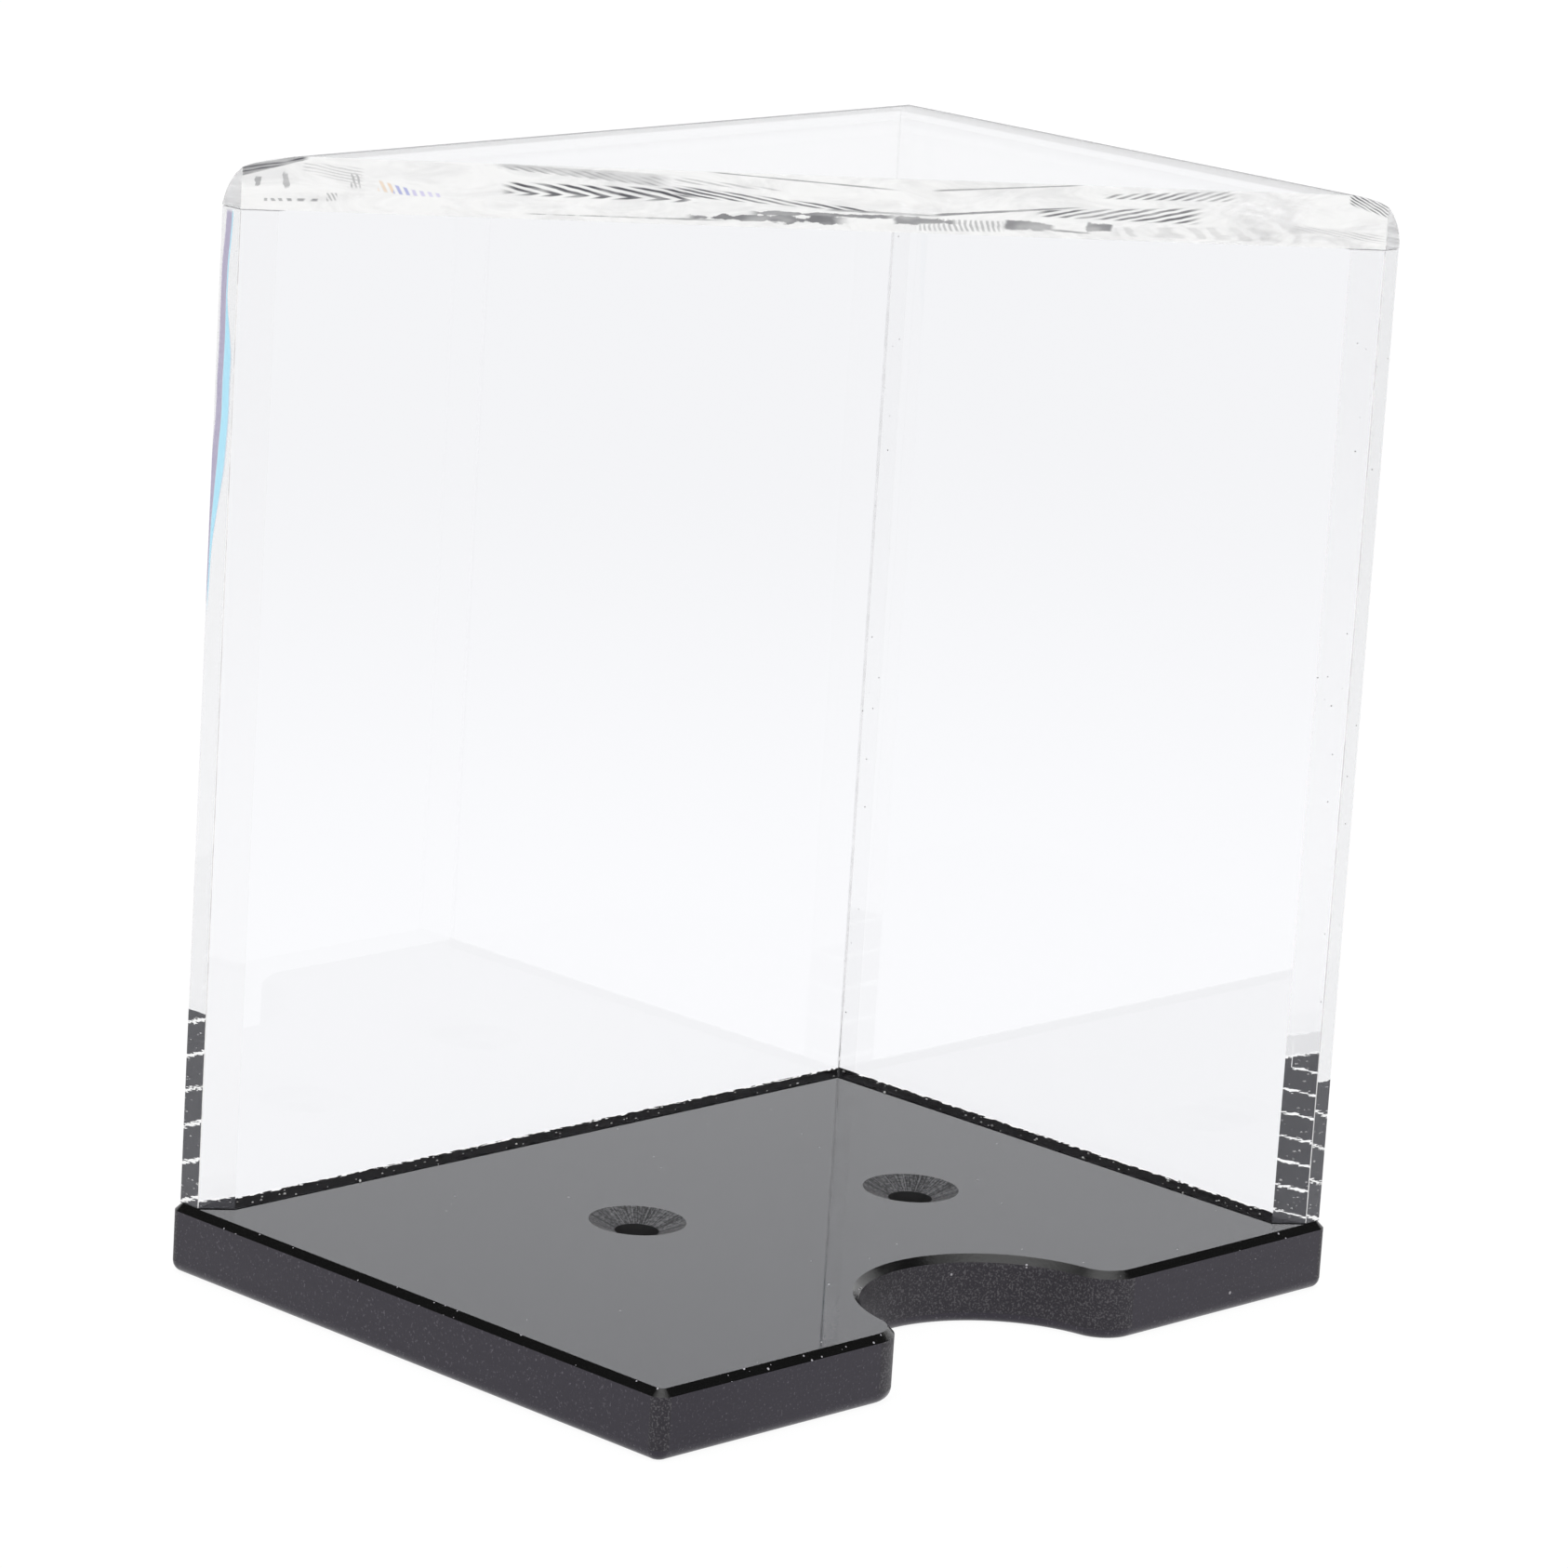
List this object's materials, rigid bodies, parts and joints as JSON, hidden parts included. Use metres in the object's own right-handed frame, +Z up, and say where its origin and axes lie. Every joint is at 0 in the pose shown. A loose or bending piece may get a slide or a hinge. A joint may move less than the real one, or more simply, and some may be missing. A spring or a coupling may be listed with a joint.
{
  "type": "playing card discard holder",
  "caption": "Open-fronted holder for stacked playing cards: clear acrylic back and side walls with a triangular top, on a black base with a round thumb notch and countersunk screw holes.",
  "frame": {"origin": "centre of the base plate's underside", "axes": "+X along the long front edge towards the side wall, +Y from the front edge to the back wall, +Z up"},
  "size_m": [0.1, 0.075, 0.1193],
  "materials": {
    "black_acrylic": "polished top and chamfer, satin milled edges",
    "clear_acrylic": "clear, polished, with sawn end faces",
    "cement": "clear cured cement with small bubbles"
  },
  "bodies": {
    "root": {"base_plate": "black_acrylic", "back_wall": "clear_acrylic", "side_wall": "clear_acrylic", "top_plate": "clear_acrylic", "back_wall_base_bond": "cement", "side_wall_base_bond": "cement", "corner_bond": "cement", "back_wall_top_bond": "cement", "side_wall_top_bond": "cement"}
  },
  "joints": []
}
